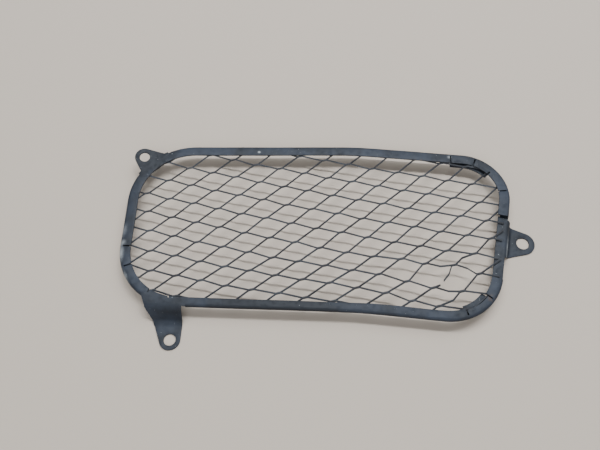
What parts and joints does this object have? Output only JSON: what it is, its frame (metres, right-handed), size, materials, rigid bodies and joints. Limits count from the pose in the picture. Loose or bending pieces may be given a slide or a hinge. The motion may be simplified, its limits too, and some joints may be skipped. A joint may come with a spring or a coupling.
{
  "type": "motorcycle fairing grille",
  "caption": "Motorcycle fairing grille: worn black expanded-metal mesh with one broken strand, in a folded steel frame with bent screw ears.",
  "frame": {"origin": "middle of the underside of the grille's bounding box, level with the feet of the two lowered ears", "axes": "+X along the grille towards the rounded wide end with the right ear, +Y towards the long straight side, +Z towards the folded side that shows when the grille lies on its feet"},
  "size_m": [0.2272, 0.1198, 0.0109],
  "materials": {
    "frame_paint": "worn satin black paint on sheet steel",
    "mesh_paint": "worn satin black paint on expanded steel"
  },
  "bodies": {
    "root": {"folded_frame": "frame_paint", "expanded_mesh": "mesh_paint"}
  },
  "joints": []
}
